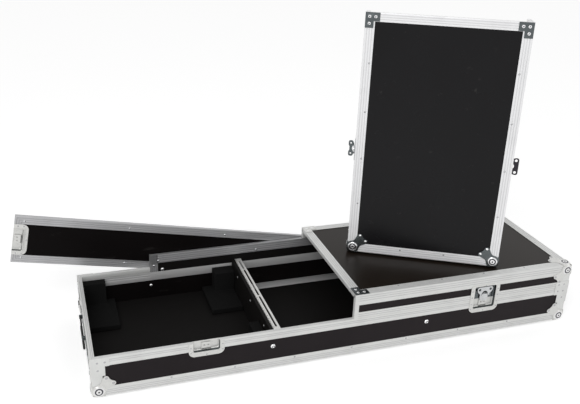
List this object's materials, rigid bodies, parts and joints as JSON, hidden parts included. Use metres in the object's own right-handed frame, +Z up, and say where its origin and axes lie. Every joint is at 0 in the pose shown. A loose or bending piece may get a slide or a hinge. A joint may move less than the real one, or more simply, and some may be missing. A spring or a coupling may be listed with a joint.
{
  "type": "dj coffin case",
  "caption": "Long black laminate flight case with aluminium edges, ball corners, split lids, a lowered back wall with insert, mixer rails and recessed butterfly latches.",
  "frame": {"origin": "middle of the floor panel's underside", "axes": "+X along the case towards the closed lid, +Y from the front to the back, +Z up"},
  "size_m": [1.7464, 0.504, 0.9853],
  "materials": {
    "laminate": "black textured laminate on plywood, satin",
    "inside": "matt black painted plywood",
    "foam": "black covered blocks, dull",
    "aluminium": "drawn, satin, with fine lines",
    "zinc": "bright zinc plated steel",
    "steel": "plated steel, darker",
    "grip": "moulded, matt"
  },
  "bodies": {
    "base": {"base_floor_panel": "inside", "base_front_panel": "laminate", "base_back_panel": "laminate", "base_end_panel_left": "laminate", "base_end_panel_right": "laminate", "base_edge_frame": "aluminium", "base_rim_frame": "aluminium", "base_ball_corner_front_left": "zinc", "base_ball_corner_front_right": "zinc", "base_ball_corner_back_left": "zinc", "base_ball_corner_back_right": "zinc", "rear_sill_profile": "aluminium", "rear_insert_panel": "laminate", "rear_insert_frame": "aluminium", "divider_left": "inside", "rack_rail_left": "aluminium", "support_outer_left": "foam", "support_inner_left": "foam", "divider_right": "inside", "rack_rail_right": "aluminium", "support_outer_right": "foam", "support_inner_right": "foam", "divider_block_left": "foam", "keeper_dish_front_left": "zinc", "keeper_plate_back_left": "zinc", "handle_plate_left": "steel", "keeper_dish_front_right": "zinc", "keeper_plate_back_right": "zinc", "handle_plate_right": "steel"},
    "left_handle": {"handle_grip_left": "grip"},
    "right_handle": {"handle_grip_right": "grip"},
    "right_lid": {"right_lid_top_panel": "laminate", "right_lid_side_walls": "laminate", "right_lid_frame": "aluminium", "right_lid_ball_corner_front": "zinc", "right_lid_inner_plate_front": "steel", "right_lid_ball_corner_back": "zinc", "right_lid_inner_plate_back": "steel", "right_lid_latch_dish_front": "zinc", "right_lid_latch_plate_back": "zinc"},
    "right_front_latch": {"right_lid_latch_spindle_front": "zinc"},
    "right_front_wing": {"right_lid_latch_wing_front": "steel"},
    "right_back_latch": {"right_lid_latch_spindle_back": "zinc"},
    "right_back_wing": {"right_lid_latch_wing_back": "steel"},
    "left_lid": {"left_lid_top_panel": "laminate", "left_lid_side_walls": "laminate", "left_lid_frame": "aluminium", "left_lid_ball_corner_front": "zinc", "left_lid_inner_plate_front": "steel", "left_lid_ball_corner_back": "zinc", "left_lid_inner_plate_back": "steel", "left_lid_latch_dish_front": "zinc", "left_lid_latch_plate_back": "zinc"},
    "left_front_latch": {"left_lid_latch_spindle_front": "zinc"},
    "left_front_wing": {"left_lid_latch_wing_front": "steel"},
    "left_back_latch": {"left_lid_latch_spindle_back": "zinc"},
    "left_back_wing": {"left_lid_latch_wing_back": "steel"},
    "cover": {"cover_board": "laminate", "cover_frame": "aluminium", "cover_end_dish": "zinc"}
  },
  "joints": [
    {"name": "right_lid_lift", "type": "slide", "parent": "base", "child": "right_lid", "axis": [0, 0, 1], "range_m": [0, 0.12]},
    {"name": "left_lid_lift", "type": "slide", "parent": "right_lid", "child": "left_lid", "axis": [0, 0, 1], "range_m": [0, 0.1]},
    {"name": "cover_pull", "type": "slide", "parent": "base", "child": "cover", "axis": [0, 1, 0], "range_m": [0, 0.15]},
    {"name": "right_front_latch_turn", "type": "hinge", "parent": "right_lid", "child": "right_front_latch", "pos_m": [0.45, -0.24225, 0.138], "axis": [0, 1, 0], "range_deg": [0, 180]},
    {"name": "right_front_wing_fold", "type": "hinge", "parent": "right_front_latch", "child": "right_front_wing", "pos_m": [0.45, -0.24005, 0.138], "axis": [1, 0, 0], "range_deg": [0, 90]},
    {"name": "right_back_latch_turn", "type": "hinge", "parent": "right_lid", "child": "right_back_latch", "pos_m": [0.424, 0.25075, 0.186], "axis": [0, -1, 0], "range_deg": [0, 180]},
    {"name": "right_back_wing_fold", "type": "hinge", "parent": "right_back_latch", "child": "right_back_wing", "pos_m": [0.424, 0.24855, 0.186], "axis": [1, 0, 0], "range_deg": [0, 90]},
    {"name": "left_front_latch_turn", "type": "hinge", "parent": "left_lid", "child": "left_front_latch", "pos_m": [0.54814, -0.13001, 0.52573], "axis": [-0.8797, 0.4756, 0], "range_deg": [-180, 0]},
    {"name": "left_front_wing_fold", "type": "hinge", "parent": "left_front_latch", "child": "left_front_wing", "pos_m": [0.54621, -0.12896, 0.52573], "axis": [-0.0233, -0.0431, -0.9988], "range_deg": [-90, 0]},
    {"name": "left_back_latch_turn", "type": "hinge", "parent": "left_lid", "child": "left_back_latch", "pos_m": [0.09228, 0.06342, 0.55405], "axis": [0.8797, -0.4756, 0], "range_deg": [-180, 0]},
    {"name": "left_back_wing_fold", "type": "hinge", "parent": "left_back_latch", "child": "left_back_wing", "pos_m": [0.09421, 0.06238, 0.55405], "axis": [-0.0233, -0.0431, -0.9988], "range_deg": [-90, 0]},
    {"name": "left_handle_swing", "type": "hinge", "parent": "base", "child": "left_handle", "pos_m": [-0.7758, 0, 0.076], "axis": [0, 1, 0], "range_deg": [0, 90]},
    {"name": "right_handle_swing", "type": "hinge", "parent": "base", "child": "right_handle", "pos_m": [0.7758, 0, 0.076], "axis": [0, -1, 0], "range_deg": [0, 90]}
  ]
}
